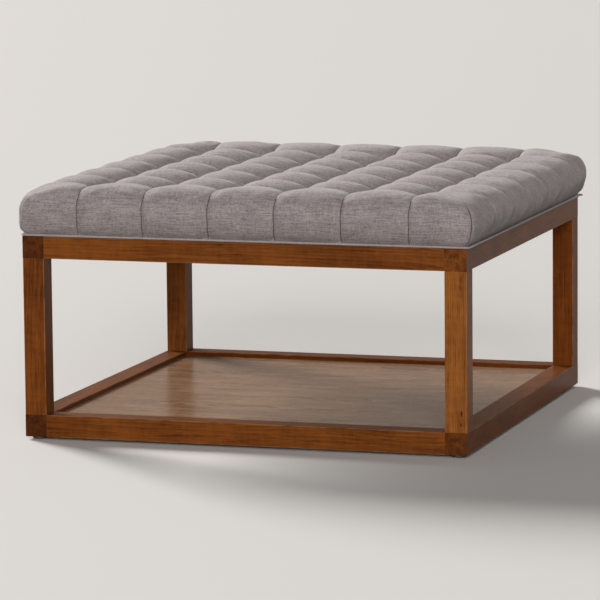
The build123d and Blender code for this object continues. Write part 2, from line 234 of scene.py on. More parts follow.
def makeTimberGroup():
    # Grain runs along the vector's X. The pith's offset says how the bar was cut from the log.
    inputs = {"Vector": "Vector", "Pith": "Vector", "Dark": "Color", "Light": "Color",
              "Ring Width": "Float", "Figure": "Float", "Pores": "Float"}
    outputs = {"Color": "Color", "Roughness": "Float", "Height": "Float"}
    group, given, result = newGroup("timberGrain", inputs, outputs)
    look = grainLook
    place = vectorCalc(group, "ADD", given["Vector"], given["Pith"])
    field = {}
    for name, (along, across, *texture) in grainFields.items():
        field[name] = stretchedNoise(group, place, (along, across, across), *texture)
    sway = look["swayWidth"]
    lift = calc(group, "MULTIPLY_ADD", field["sway"], sway, -sway / 2)
    parts = separate(group, place)
    across = calc(group, "ADD", parts[1], lift)
    radius = calc(group, "SQRT", sumSquares(group, across, parts[2]))
    turns = calc(group, "DIVIDE", radius, given["Ring Width"])
    turns = calc(group, "ADD", turns, times(group, field["ripple"], look["ripple"]))
    inRing = calc(group, "FRACT", turns)
    late = calc(group, "POWER", inRing, look["lateWood"])
    late = times(group, late, spread(group, inRing, *look["ringEnd"], 1.0, 0.0))
    late = times(group, late, spread(group, field["ringTone"], *look["ringTone"]))
    figure = times(group, given["Figure"], look["figure"])
    tone = calc(group, "MULTIPLY_ADD", late, figure, look["base"])
    for name, weight in look["weights"].items():
        tone = addCentred(group, field[name], weight, tone)
    fleck = spread(group, field["fleck"], *look["fleck"])
    tone = calc(group, "MULTIPLY_ADD", fleck, look["fleckWeight"], tone, clamp=True)
    colour = mixColour(group, tone, given["Dark"], given["Light"])
    pore = times(group, spread(group, field["pore"], *look["pore"]), given["Pores"])
    poreShare = times(group, pore, look["poreShare"])
    rough = calc(group, "MULTIPLY_ADD", field["streak"], *look["roughness"])
    fibre = times(group, field["fibre"], look["fibreHeight"])
    height = calc(group, "SUBTRACT", fibre, pore)
    fillInputs(group, result, {
        "Color": mixColour(group, poreShare, colour, look["poreColour"]),
        "Roughness": calc(group, "ADD", rough, times(group, pore, look["poreRoughness"])),
        "Height": calc(group, "MULTIPLY_ADD", late, look["lateHeight"], height)})
    return group


# Masks for the bars' lightened long edges, partly wear and partly a painted highlight, and for
# their sawn ends
barMasks = {
    "rubAndHighlightNoise": ((30, 8, 8), 3.0),
    "rubbedAndHighlighted": (0.30, 0.62),
    "edge": (0.0004, 0.0017),  # in from a long edge
    "sawn": (0.0003, 0.0009),  # in from an end
}


def makeBarWearAndHighlightGroup():
    # Masks from a bar's own centred vector: long edges, lightened as wear and as a painted
    # highlight of the eased edge, and sawn ends.
    inputs = {"Vector": "Vector", "Half Width": "Float", "Half Length": "Float"}
    outputs = {"Edge": "Float", "End": "Float"}
    group, given, result = newGroup("barWearAndHighlight", inputs, outputs)
    parts = separate(group, vectorCalc(group, "ABSOLUTE", given["Vector"]))
    side = calc(group, "MINIMUM", parts[1], parts[2])
    near = calc(group, "SUBTRACT", given["Half Width"], side)
    rubAndHighlightNoise = stretchedNoise(group, given["Vector"], *barMasks["rubAndHighlightNoise"])
    edge = spread(group, near, *barMasks["edge"], 1.0, 0.0)
    rubbedAndHighlighted = spread(group, rubAndHighlightNoise, *barMasks["rubbedAndHighlighted"])
    fromEnd = calc(group, "SUBTRACT", given["Half Length"], parts[0])
    fillInputs(group, result, {"Edge": times(group, edge, rubbedAndHighlighted),
                               "End": spread(group, fromEnd, *barMasks["sawn"], 1.0, 0.0)})
    return group


timberGrain = makeTimberGroup()
barWearAndHighlight = makeBarWearAndHighlightGroup()

# Turns an object's vector so that the grain lies along X
grainTurns = {"x": (0, 0, 0), "y": (0, 0, -pi / 2), "z": (0, pi / 2, 0)}

stain = {
    "railDark": (0.040, 0.0090, 0.0010, 1),
    "railLight": (0.180, 0.0515, 0.0078, 1),
    "legDark": (0.072, 0.0190, 0.0022, 1),
    "legLight": (0.305, 0.1060, 0.0220, 1),
    "endDark": (0.016, 0.0035, 0.0006, 1),
    "endLight": (0.094, 0.0250, 0.0046, 1),
    # lighter colour of the long edges: partly wear, partly a painted highlight where the eased
    # edges catch the light
    "wearAndHighlight": (0.42, 0.20, 0.085, 1),
}

barLook = {
    "halfWidth": 0.019,
    "grain": {"Ring Width": 0.0036, "Figure": 0.6, "Pores": 0.8},
    "sawn": {"Ring Width": 0.0042, "Figure": 0.45, "Pores": 1.0},
    # share of the lightened edge colour: wear and painted highlight
    "wearAndHighlightShare": 0.45,
    "blotches": (70.0, 3.0, 0.6),
    "blotch": (0.40, 0.72),
    "blotchShare": 0.60,
    "specular": 0.055,
    "bump": (0.35, 0.0002),
}

# Grain axis, pith offset, tone (0 as the rails, 1 the lightest) and the sawn ends' tone; for the
# lower back rail and the back legs the tone also holds painted light and shade
bars = {
    "front_rail_top": ("x", (0.31, 0.062, 0.030), 0.10, 0.0),
    "back_rail_top": ("x", (2.13, 0.055, -0.040), 0.00, 0.0),
    "front_rail_bottom": ("x", (3.71, -0.050, 0.035), 0.00, 0.0),
    # painted shade: the lower back rail is darkened for the seat's shadow on its front
    "back_rail_bottom": ("x", (5.07, 0.047, 0.041), -0.35, 0.0),
    "side_rail_top_left": ("y", (1.23, 0.034, 0.038), 0.00, 0.15),
    "side_rail_top_right": ("y", (4.41, 0.052, -0.026), 0.15, 0.95),
    "side_rail_bottom_left": ("y", (6.35, -0.041, 0.033), 0.00, 0.0),
    "side_rail_bottom_right": ("y", (7.77, 0.046, 0.037), 0.00, 0.5),
    "leg_front_left": ("z", (8.19, 0.058, 0.021), 0.00, 0.0),
    "leg_front_right": ("z", (9.43, 0.036, -0.051), 0.75, 0.0),
    # painted light on the back left leg and painted shade on the back right leg, set through their
    # tones
    "leg_back_left": ("z", (10.61, -0.049, 0.030), 0.30, 0.0),
    "leg_back_right": ("z", (11.87, 0.044, 0.046), -0.25, 0.0),
}


def blendRgb(first, second, share):
    return tuple(a + (b - a) * share for a, b in zip(first, second))


def centredVector(tree, node, axis):
    low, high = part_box(node)
    moved = addNode(tree, "ShaderNodeMapping",
                    {0: objectPlace(tree), "Location": -(low + high) / 2}).outputs[0]
    return addNode(tree, "ShaderNodeMapping", {0: moved, "Rotation": grainTurns[axis]}).outputs[0]


def paintBar(node):
    axis, pith, tone, endTone = bars[node]
    low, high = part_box(node)
    material, tree, shader = newMaterial(node + "_stained")
    vector = centredVector(tree, node, axis)
    # for the lower back rail and the back legs the tone also carries painted light and shade
    dark = blendRgb(stain["railDark"], stain["legDark"], tone)
    light = blendRgb(stain["railLight"], stain["legLight"], tone)
    grain = placeGroup(tree, timberGrain, {
        "Vector": vector, "Pith": pith, "Dark": dark, "Light": light, **barLook["grain"]})
    wearAndHighlight = placeGroup(tree, barWearAndHighlight, {"Vector": vector, "Half Width": barLook["halfWidth"],
                                      "Half Length": max(high - low) / 2})
    # painted highlight and wear: the long edges are lightened in patches, standing in for the
    # light the eased edges catch as well as for rubbing
    wornAndHighlighted = times(tree, wearAndHighlight["Edge"], barLook["wearAndHighlightShare"])
    colour = mixColour(tree, wornAndHighlighted, grain["Color"], stain["wearAndHighlight"])
    if axis == "y":  # only the side rails show their sawn ends
        sawn = placeGroup(tree, timberGrain, {
            "Vector": vector, "Pith": pith, "Dark": blendRgb(stain["endDark"], dark, endTone),
            "Light": blendRgb(stain["endLight"], light, endTone), **barLook["sawn"]})
        blotch = noiseField(tree, vector, *barLook["blotches"])
        blotch = times(tree, spread(tree, blotch, *barLook["blotch"]), barLook["blotchShare"])
        sawnColour = mixColour(tree, blotch, sawn["Color"], stain["endDark"])
        colour = mixColour(tree, wearAndHighlight["End"], colour, sawnColour)
    if node == "leg_front_right":
        colour = addKnots(tree, vector, colour)
    surface = {"Base Color": colour, "Roughness": grain["Roughness"],
               "Specular IOR Level": barLook["specular"]}
    setSurface(tree, shader, surface, grain["Height"], barLook["bump"])
    paint(nodes[node], material)


# Knots on the front of the right leg: height above its middle, distance to the right of it,
# half height and half width
legKnots = [(-0.102, 0.0095, 0.0052, 0.0019), (-0.121, 0.0085, 0.0032, 0.0012)]

knotLook = {
    "wobble": ((120, 400, 400), 2.0),
    "raggedness": 1.2,
    "edge": (0.8, 2.2, 0.9, 0.0),
    "front": (-0.0165, -0.0140),
    "colour": (0.030, 0.010, 0.004, 1),
}


def addKnots(tree, vector, colour):
    for along, across, tall, wide in legKnots:
        parts = separate(tree, vectorCalc(tree, "SUBTRACT", vector, (along, 0, 0)))
        wobble = stretchedNoise(tree, vector, *knotLook["wobble"])
        sideways = calc(tree, "SUBTRACT", parts[2], -across)
        upward = calc(tree, "DIVIDE", parts[0], tall)
        sideways = calc(tree, "DIVIDE", sideways, wide)
        distance = sumSquares(tree, upward, sideways)
        distance = calc(tree, "MULTIPLY_ADD", wobble, knotLook["raggedness"], distance)
        front = spread(tree, parts[1], *knotLook["front"], 1.0, 0.0)
        mask = times(tree, spread(tree, distance, *knotLook["edge"]), front)
        colour = mixColour(tree, mask, colour, knotLook["colour"])
    return colour


for barName in bars:
    paintBar(barName)
print("timber stained")


veneer = {
    "leafWidth": 0.118,  # strips of veneer, side by side from front to back
    "depthSwing": 0.036,  # how far the cut wanders through the rings, for the flame figure
    "swingScale": 4.5,
    "slip": (2.4, 0.21),  # each leaf is moved along by the sine of its number
    "start": 0.73,
    "depth": 0.032,
    "grain": {"Dark": (0.108, 0.055, 0.030, 1), "Light": (0.315, 0.185, 0.108, 1),
              "Ring Width": 0.0048, "Figure": 1.1, "Pores": 0.9},
    "roughness": 0.55,
    "specular": 0.08,
    "bump": (0.25, 0.0001),
}


def paintShelf():
    material, tree, shader = newMaterial("shelf_walnut_veneer")
    vector = centredVector(tree, "shelf_panel", "x")
    parts = separate(tree, vector)
    leaf = calc(tree, "FLOOR", calc(tree, "DIVIDE", parts[1], veneer["leafWidth"]))
    inLeaf = calc(tree, "MULTIPLY_ADD", leaf, -veneer["leafWidth"], parts[1])
    turn, reach = veneer["slip"]
    slip = calc(tree, "SINE", times(tree, leaf, turn))
    along = calc(tree, "ADD", parts[0], times(tree, slip, reach))
    swing = combine(tree, times(tree, along, veneer["swingScale"]), leaf)
    depth = addCentred(tree, noiseField(tree, swing, 1.0, 1.0), veneer["depthSwing"], parts[2])
    grain = placeGroup(tree, timberGrain, {
        "Vector": combine(tree, along, inLeaf, depth),
        "Pith": (veneer["start"], -veneer["leafWidth"] / 2, veneer["depth"]),
        **veneer["grain"]})
    rough = times(tree, grain["Roughness"], veneer["roughness"])
    surface = {"Base Color": grain["Color"], "Roughness": rough,
               "Specular IOR Level": veneer["specular"]}
    setSurface(tree, shader, surface, grain["Height"], veneer["bump"])
    paint(nodes["shelf_panel"], material)


paintShelf()
print("shelf veneered")


# Plain timber, board and hardware that the table holds inside
innerWoods = {  # dark, light and ring width
    "plain_hardwood": ((0.30, 0.18, 0.09, 1), (0.50, 0.34, 0.19, 1), 0.0032),
    "dowel_wood": ((0.42, 0.28, 0.15, 1), (0.66, 0.50, 0.32, 1), 0.0018),
    "plywood": ((0.36, 0.23, 0.12, 1), (0.60, 0.43, 0.26, 1), 0.006),
}

# Grain axis where it isn't X
innerGrain = {"shelf_cleat_left": "y", "shelf_cleat_right": "y", "leg_dowels": "z"}

innerLook = {
    "pith": (0.37, 0.045, 0.038),
    "grain": {"Figure": 0.45, "Pores": 0.3},
    "roughness": 0.62,
    "bump": (0.3, 0.0002),
    "plyPitch": 0.0042,
    "plyEdge": (0.0006, 0.0002),  # in from the board's edges, where the plies show
    "plyBand": (-0.3, 0.3, 0.0, 0.55),
    "plyColour": (0.16, 0.08, 0.035, 1),
}


def paintInnerWood(node, slot):
    material, tree, shader = newMaterial(node + "_wood")
    vector = centredVector(tree, node, innerGrain.get(node, "x"))
    dark, light, rings = innerWoods[slot]
    start, across, depth = innerLook["pith"]
    grain = placeGroup(tree, timberGrain, {
        "Vector": vector, "Pith": (len(node) * start, across, depth),
        "Dark": dark, "Light": light, "Ring Width": rings, **innerLook["grain"]})
    colour = grain["Color"]
    if slot == "plywood":
        parts = separate(tree, vector)
        ply = calc(tree, "SINE", times(tree, parts[2], 2 * pi / innerLook["plyPitch"]))
        reach = calc(tree, "MAXIMUM", calc(tree, "ABSOLUTE", parts[0]),
                     calc(tree, "ABSOLUTE", parts[1]))
        low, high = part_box(node)
        half = (high.x - low.x) / 2
        edge = spread(tree, reach, *(half - inset for inset in innerLook["plyEdge"]))
        band = spread(tree, ply, *innerLook["plyBand"])
        colour = mixColour(tree, times(tree, band, edge), colour, innerLook["plyColour"])
    surface = {"Base Color": colour, "Roughness": innerLook["roughness"]}
    setSurface(tree, shader, surface, grain["Height"], innerLook["bump"])
    paint(nodes[node], material)


# Noise fields are given by scale, detail and roughness
hardware = {
    "zinc_steel": {
        "tint": (420.0, 3.0, 0.6), "gloss": (90.0, 2.0, 0.5), "relief": (420.0, 3.0, 0.6),
        "band": (0.3, 0.7), "dark": (0.50, 0.51, 0.52, 1), "light": (0.68, 0.69, 0.70, 1),
        "roughness": (0.25, 0.22), "metallic": 1.0, "bump": (0.2, 0.0001)},
    "glide_plastic": {
        "tint": (120.0, 3.0, 0.6), "gloss": (120.0, 3.0, 0.6), "relief": (1400.0, 3.0, 0.6),
        "band": (0.45, 0.75), "dark": (0.022, 0.018, 0.015, 1), "light": (0.060, 0.052, 0.045, 1),
        "roughness": (0.2, 0.45), "metallic": 0.0, "bump": (0.25, 0.0001)},
}


def makeHardware(name):
    look = hardware[name]
    material, tree, shader = newMaterial(name)
    tint, gloss, relief = [noiseField(tree, objectPlace(tree), *look[field])
                           for field in ("tint", "gloss", "relief")]
    tint = spread(tree, tint, *look["band"])
    surface = {"Base Color": mixColour(tree, tint, look["dark"], look["light"]),
               "Roughness": calc(tree, "MULTIPLY_ADD", gloss, *look["roughness"]),
               "Metallic": look["metallic"]}
    setSurface(tree, shader, surface, relief, look["bump"])
    return material


twine = {
    "pitch": 0.0016,
    "dark": (0.36, 0.31, 0.23, 1),
    "light": (0.66, 0.60, 0.49, 1),
    "fuzz": (2600.0, 2.0),
    "fuzzShare": 0.4,
    "fuzzColour": (0.80, 0.76, 0.66, 1),
    "roughness": 0.85,
    "bump": (0.5, 0.0002),
}


def makeTwine():
    material, tree, shader = newMaterial("tie_twine")
    vector = objectPlace(tree)
    parts = separate(tree, vector)
    slant = calc(tree, "ADD", calc(tree, "ADD", parts[0], parts[1]), parts[2])
    ply = calc(tree, "SINE", times(tree, slant, 2 * pi / twine["pitch"]))
    colour = mixColour(tree, spread(tree, ply, -1.0, 1.0), twine["dark"], twine["light"])
    fuzz = times(tree, noiseField(tree, vector, *twine["fuzz"]), twine["fuzzShare"])
    colour = mixColour(tree, fuzz, colour, twine["fuzzColour"])
    surface = {"Base Color": colour, "Roughness": twine["roughness"]}
    setSurface(tree, shader, surface, ply, twine["bump"])
    return material


def paintInnerPieces():
    shared = {name: makeHardware(name) for name in hardware}
    shared["twine"] = makeTwine()
    for entry in frame["record"]["subparts"]:
        slot = entry["material_slot"]
        if slot in innerWoods:
            paintInnerWood(entry["node"], slot)
        elif slot in shared:
            paint(nodes[entry["node"]], shared[slot])


paintInnerPieces()
print("inner pieces painted")


boardLow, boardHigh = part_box("seat_board")
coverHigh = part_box("seat_cover")[1]

cushion = {
    "cells": 7,  # quilted cells along each side
    "steps": 16,  # mesh steps in each cell
    "sideRows": 12,
    "half": coverHigh.x - 0.0020,
    "top": coverHigh.z - 0.0030,  # the cloth rises to the CAD height as it fills
    "base": 0.3546,
    "edgeCell": 0.1075,  # the outer cells are narrower, measured on the flat
    "shift": (0.001, 0.0050, 0.030),  # to the right at the base and above, and over what rise
    "roll": 0.039,
    "cornerRoll": 0.009,
    "baseDraw": 0.0080,
    "drawIn": ([0, 0.06, 0.14, 0.25, 0.40, 0.60, 0.80, 1],  # up the side, and its share
               [1, 0.58, 0.28, 0.11, 0.03, 0, 0, 0]),
    "belly": 0.0155,  # how far the sides swell out between the corners
    "bellyPower": 6,
    "bellyTurn": 0.72,
    "seamDrop": 0.0190,
    "seamPower": 1.9,
    "tuftDrop": 0.0325,
    "rimPower": 2.2,
    "rimShallow": 0.35,  # how much shallower the quilting is on the rolled edge
    "rimDrops": {"x": (0.0070, 0.0034), "y": (0.0048, 0.0020)},  # where seams cross the rim
    "cornerDrops": (0.022, 0.017),  # at the front and back corners
    "cornerReach": 0.085,
    "cornerBlend": (0.090, 0.010),
    "sideFall": 0.0085,  # how far the outer pillows slope down towards the left and right rims
    "sideFallReach": 0.095,
    "cornerRound": 0.008,
    "cornerTuck": 0.293,  # of that radius, at the middle of a corner
    "tuckBlend": (0.060, 0.010),
    "swellBlend": (0.060, 0.007),
    "rollShare": 0.7071,  # of the roll's radius, at the middle of the rolled edge
    "sideSeamDepth": 0.0042,
    "sideSeamPower": 6,
    "crowd": 0.35,  # how much closer the mesh lies beside the seams
    "pillowPower": 2.0,
    "pillowEdge": 0.95,
}

gridSteps = cushion["cells"] * cushion["steps"]


def cellPlaces(cell, end):
    # From cell units, 0 to 7, to metres; end is how far out the outer cells reach.
    count = cushion["cells"]
    first = cushion["half"] - cushion["edgeCell"]
    pitch = 2 * first / (count - 2)
    inner = [-first + pitch * index for index in range(count - 1)]
    step = cell - np.floor(cell)
    eased = np.floor(cell) + (1 - cushion["crowd"]) * step
    eased = eased + cushion["crowd"] * (0.5 - 0.5 * np.cos(pi * step))
    inside = np.interp(eased, np.arange(1, count), inner)
    outer = end - first
    inside = np.where(eased < 1, -first - outer * (1 - eased), inside)
    return np.where(eased > count - 1, first + outer * (eased - count + 1), inside)


def smoothStep(value, low, high):
    share = np.clip((value - low) / (high - low), 0, 1)
    return share * share * (3 - 2 * share)


def nearEdge(inward, far, near):
    # 0 further in than far, 1 nearer the edge than near.
    return smoothStep(-inward, -far, -near)


def fromMiddle(cell):
    # 0 at the middle of a cell, 1 at its seams.
    return np.abs(2 * (cell - np.floor(cell)) - 1)


def beyondSeams(cell):
    # The outer halves of the outer cells, which end at the rim.
    return (cell < 0.5) | (cell > cushion["cells"] - 0.5)


def pillowShare(cell):
    # 1 on a seam, 0 on a pillow's crown; the outer cells have no seam at the rim.
    middle = np.where(beyondSeams(cell), 0, fromMiddle(cell))
    return 1 - (1 - middle ** cushion["pillowPower"]) ** cushion["pillowEdge"]


def seamLevel(cell, rimDrops):
    # How deep a seam lies below the crowns, along its own length.
    count = cushion["cells"]
    rimDrop = np.where(cell < count / 2, *rimDrops)
    deeper = cushion["tuftDrop"] - cushion["seamDrop"]
    inside = cushion["seamDrop"] + deeper * fromMiddle(cell) ** cushion["seamPower"]
    fromRim = np.clip(np.minimum(cell, count - cell), 0, 1)
    outer = (cushion["tuftDrop"] - rimDrop) * fromRim ** cushion["rimPower"]
    return np.where(fromRim < 1, rimDrop + outer, inside)


def quiltDrop(cellX, cellY):
    shareX, shareY = pillowShare(cellX), pillowShare(cellY)
    rims = cushion["rimDrops"]
    drop = shareX * seamLevel(cellY, rims["y"]) + shareY * seamLevel(cellX, rims["x"])
    return drop - shareX * shareY * cushion["tuftDrop"]


def rollDrop(inward, radius):
    reach = np.clip(radius - inward, 0, radius)
    return radius - np.sqrt(radius ** 2 - reach ** 2)


def sideSwell(cell, share):
    # How far a side stands out: share is 0 at the base, 1 at the rim.
    fromCorner = 1 - (2 * cell / cushion["cells"] - 1) ** cushion["bellyPower"]
    return cushion["belly"] * fromCorner * np.sin(pi * cushion["bellyTurn"] * share)


def topPlaces(cellX, cellY):
    # Points of the quilted top, out to the middle of the rolled edge.
    half, roll = cushion["half"], cushion["roll"]
    rim = half - roll * (1 - cushion["rollShare"])
    swellX, swellY = sideSwell(cellY, 1), sideSwell(cellX, 1)
    x, y = cellPlaces(cellX, rim), cellPlaces(cellY, rim)
    inX, inY = half - np.abs(x), half - np.abs(y)
    toCorner = nearEdge(np.maximum(inX, inY), *cushion["cornerBlend"])
    radius = roll + (cushion["cornerRoll"] - roll) * toCorner
    drop = np.sqrt(rollDrop(inX, radius) ** 2 + rollDrop(inY, radius) ** 2)
    near = smoothStep(roll - np.minimum(inX, inY), 0, roll)
    quilt = quiltDrop(cellX, cellY) * (1 - cushion["rimShallow"] * near)
    reach = cushion["cornerReach"]
    droop = np.clip(1 - inX / reach, 0, 1) * np.clip(1 - inY / reach, 0, 1)
    fall = cushion["sideFall"] * np.clip(1 - inX / cushion["sideFallReach"], 0, 1) ** 2
    cornerDrop = np.where(y < 0, *cushion["cornerDrops"])
    z = cushion["top"] - drop - quilt - fall * (1 - droop) - cornerDrop * droop
    tuck = cushion["cornerTuck"] * cushion["cornerRound"]
    tuck = tuck * nearEdge(inX, *cushion["tuckBlend"]) * nearEdge(inY, *cushion["tuckBlend"])
    nearX = nearEdge(inX, *cushion["swellBlend"]) * np.sign(x)
    nearY = nearEdge(inY, *cushion["swellBlend"]) * np.sign(y)
    x = x - np.sign(x) * tuck + swellX * nearX
    y = y - np.sign(y) * tuck + swellY * nearY
    return x, y, z


def sideProfile(row):
    # Inset from the widest line and height of one row of the side, from the rim to the base.
    radius = cushion["roll"]
    rollEnd = cushion["top"] - radius
    arc = radius * pi / 4
    total = arc + rollEnd - cushion["base"]
    run = total * row / cushion["sideRows"]
    if run < arc:
        turn = pi / 4 + run / radius
        return radius * (1 - np.sin(turn)), rollEnd + radius * np.cos(turn)
    height = rollEnd - (run - arc)
    share = (height - cushion["base"]) / (rollEnd - cushion["base"])
    return np.interp(share, *cushion["drawIn"]) * cushion["baseDraw"], height


def sidePlaces(cell, row, rimHeight):
    # Along, out from the middle and height for points of one side.
    inset, height = sideProfile(row)
    rimZ = sideProfile(0)[1]
    radius = cushion["cornerRound"]
    along = cellPlaces(cell, cushion["half"] - inset - cushion["cornerTuck"] * radius)
    toCorner = np.clip(cushion["half"] - inset - np.abs(along), 0, radius)
    corner = radius - np.sqrt(radius ** 2 - (radius - toCorner) ** 2)
    seam = np.where(beyondSeams(cell), 0, fromMiddle(cell) ** cushion["sideSeamPower"])
    inset = inset + cushion["sideSeamDepth"] * seam + corner
    share = (height - cushion["base"]) / (rimZ - cushion["base"])
    inset = inset - sideSwell(cell, share)
    return along, cushion["half"] - inset, cushion["base"] + (rimHeight - cushion["base"]) * share


def readValues(items, name, width=1, kind=np.int32):
    values = np.zeros(len(items) * width, dtype=kind)
    items.foreach_get(name, values)
    return values.reshape(-1, width) if width > 1 else values


def readPoints(mesh):
    return readValues(mesh.vertices, "co", 3, float)


def writePoints(mesh, points):
    mesh.vertices.foreach_set("co", np.asarray(points, dtype=np.float32).ravel())
    mesh.update()


def openEdges(bm):
    return [edge for edge in bm.edges if edge.is_boundary]


def drawOutBorder(bm):
    made = bmesh.ops.extrude_edge_only(bm, edges=openEdges(bm))["geom"]
    return [part for part in made if isinstance(part, bmesh.types.BMVert)]


def buildCoverGrid():
    # A flat grid for the top whose border is drawn down in rows: one unit for each step.
    bm = bmesh.new()
    bmesh.ops.create_grid(bm, x_segments=gridSteps, y_segments=gridSteps, size=gridSteps / 2)
    for _ in range(cushion["sideRows"]):
        bmesh.ops.translate(bm, verts=drawOutBorder(bm), vec=(0, 0, -1))
    bmesh.ops.recalc_face_normals(bm, faces=bm.faces)
    return meshFrom(bm, "seat_cushion")


clothMap = {
    "overhang": 0.004,
    "row": 0.0065,  # cloth in each row of the sides
    "rimGap": 0.12,  # in cells: keeps the seams' dark lines of stitching and painted crease shade off the rim
}


def addClothMaps(mesh, grid):
    # "cloth" is the uncut cloth in metres, and "cells" counts the seams: whole numbers are seams.
    corner = grid[readValues(mesh.loops, "vertex_index")]
    starts = readValues(mesh.polygons, "loop_start")
    totals = readValues(mesh.polygons, "loop_total")
    face = np.repeat(np.arange(len(starts)), totals)
    lows = np.minimum.reduceat(corner, starts, axis=0)
    highs = np.maximum.reduceat(corner, starts, axis=0)
    onSide = (lows[:, 2] < highs[:, 2])[face]
    sideX = onSide & (np.abs(lows[:, 0] - highs[:, 0]) < 0.5)[face]  # the left and right sides
    sideY = onSide & ~sideX
    cellX, cellY = corner[:, 0] / cushion["steps"], corner[:, 1] / cushion["steps"]
    down = -corner[:, 2] * clothMap["row"]
    flat = cushion["half"] + clothMap["overhang"]
    placeX, placeY = cellPlaces(cellX, flat), cellPlaces(cellY, flat)
    clothX = np.where(sideX, np.sign(placeX) * (flat + down), placeX)
    clothY = np.where(sideY, np.sign(placeY) * (flat + down), placeY)
    inner = (clothMap["rimGap"], cushion["cells"] - clothMap["rimGap"])
    seamX = np.where(onSide, np.where(sideX, 0.5, cellX), np.clip(cellX, *inner))
    seamY = np.where(onSide, np.where(sideY, 0.5, cellY), np.clip(cellY, *inner))
    for name, u, v in (("cloth", clothX, clothY), ("cells", seamX, seamY)):
        layer = mesh.uv_layers.new(name=name)
        layer.data.foreach_set("uv", np.stack([u, v], 1).astype(np.float32).ravel())


def shapeCover(mesh):
    # Moves the grid to the seat's form; returns each point's column, line and negative row.
    grid = np.rint(readPoints(mesh))
    grid[:, :2] += gridSteps / 2
    cellX, cellY = grid[:, 0] / cushion["steps"], grid[:, 1] / cushion["steps"]
    x, y, z = topPlaces(cellX, cellY)
    rimHeight = z.copy()
    for row in range(cushion["sideRows"] + 1):
        level = grid[:, 2] == -row
        for axis, cell, other in ((0, cellX, cellY), (1, cellY, cellX)):
            for end in (0, cushion["cells"]):
                spot = level & (cell == end)
                along, out, height = sidePlaces(other[spot], row, rimHeight[spot])
                out = -out if end == 0 else out
                x[spot], y[spot] = (out, along) if axis == 0 else (along, out)
                z[spot] = height
    writePoints(mesh, np.stack([x, y, z], 1))
    return grid


def seamMasks(grid):
    onX, onY = [(line % cushion["steps"] == 0) & (line > 0) & (line < gridSteps)
                for line in (grid[:, 0], grid[:, 1])]
    corner = np.isin(grid[:, 0], (0, gridSteps)) & np.isin(grid[:, 1], (0, gridSteps))
    return onX, onY, corner


simulation = {
    "frames": 14,
    "seamHold": 0.95,
    "reach": 0.007,  # no point moves further than this
    "settings": {
        "quality": 6,
        "vertex_group_mass": "held",
        "pin_stiffness": 6.0,
        "mass": 0.25,
        "tension_stiffness": 25,
        "compression_stiffness": 25,
        "shear_stiffness": 8,
        "bending_stiffness": 0.6,
        "air_damping": 4,
        "shrink_min": -0.010,  # below zero: cloth larger than the form
        "use_pressure": True,
        "uniform_pressure_force": 1.6,
    },
}


def inflate(obj, grid):
    # Cloth held at its tufts, seams and base, and blown up from inside.
    mesh = obj.data
    onX, onY, corner = seamMasks(grid)
    top = grid[:, 2] == 0
    base = grid[:, 2] <= -cushion["sideRows"] + 1
    weight = np.zeros(len(grid))
    weight[onX | onY] = simulation["seamHold"]
    weight[corner | base | (onX & onY & top)] = 1.0
    group = obj.vertex_groups.new(name="held")
    for value in np.unique(weight[weight > 0]):
        chosen = [int(index) for index in np.nonzero(weight == value)[0]]
        group.add(chosen, float(value), "REPLACE")
    start = readPoints(mesh)
    cloth = obj.modifiers.new("cloth", "CLOTH")
    for name, value in simulation["settings"].items():
        setattr(cloth.settings, name, value)
    cloth.settings.effector_weights.gravity = 0
    cloth.collision_settings.use_collision = False
    scene = bpy.context.scene
    for step in range(1, simulation["frames"] + 1):
        scene.frame_set(step)
    shaped = obj.evaluated_get(bpy.context.evaluated_depsgraph_get())
    moved = readPoints(shaped.data) - start
    length = np.linalg.norm(moved, axis=1)
    print("cushion moved", round(float(length.mean()) * 1000, 2), "mm on average, most",
          round(float(length.max()) * 1000, 2))
    moved *= np.minimum(1, simulation["reach"] / np.maximum(length, 1e-9))[:, None]
    obj.modifiers.remove(cloth)
    obj.vertex_groups.clear()
    writePoints(mesh, start + moved)
    scene.frame_set(1)


pucker = {
    "depth": 0.0011,
    "pitch": 0.017,
    "height": 0.026,
    "fade": 1.5,
    "length": 0.05,
    "seed": 3.7,
    "weights": (1.5, 0.5),
    "finer": 2.3,
}


def addPuckers(mesh, grid):
    # Small upright folds where the cover is pulled in at the base.
    points = readPoints(mesh)
    broad, fine = pucker["weights"]
    for index in np.nonzero(grid[:, 2] < 0)[0]:
        x, y, z = points[index]
        outX, outY = [int(line == gridSteps) - int(line == 0) for line in grid[index][:2]]
        height = z - cushion["base"]
        fade = max(0.0, 1 - height / pucker["height"]) ** pucker["fade"]
        place = Vector(((x if outY else y) / pucker["pitch"], height / pucker["length"],
                        pucker["seed"] + outX + 2 * outY))
        folds = noise.noise(place) * broad + fine * noise.noise(place * pucker["finer"])
        direction = Vector((outX, outY, 0)).normalized()
        points[index] += np.array(direction) * (folds * pucker["depth"] * fade)
    writePoints(mesh, points)


stitches = {"topDepth": 0.0010, "sideDepth": 0.0008, "crease": 0.75}


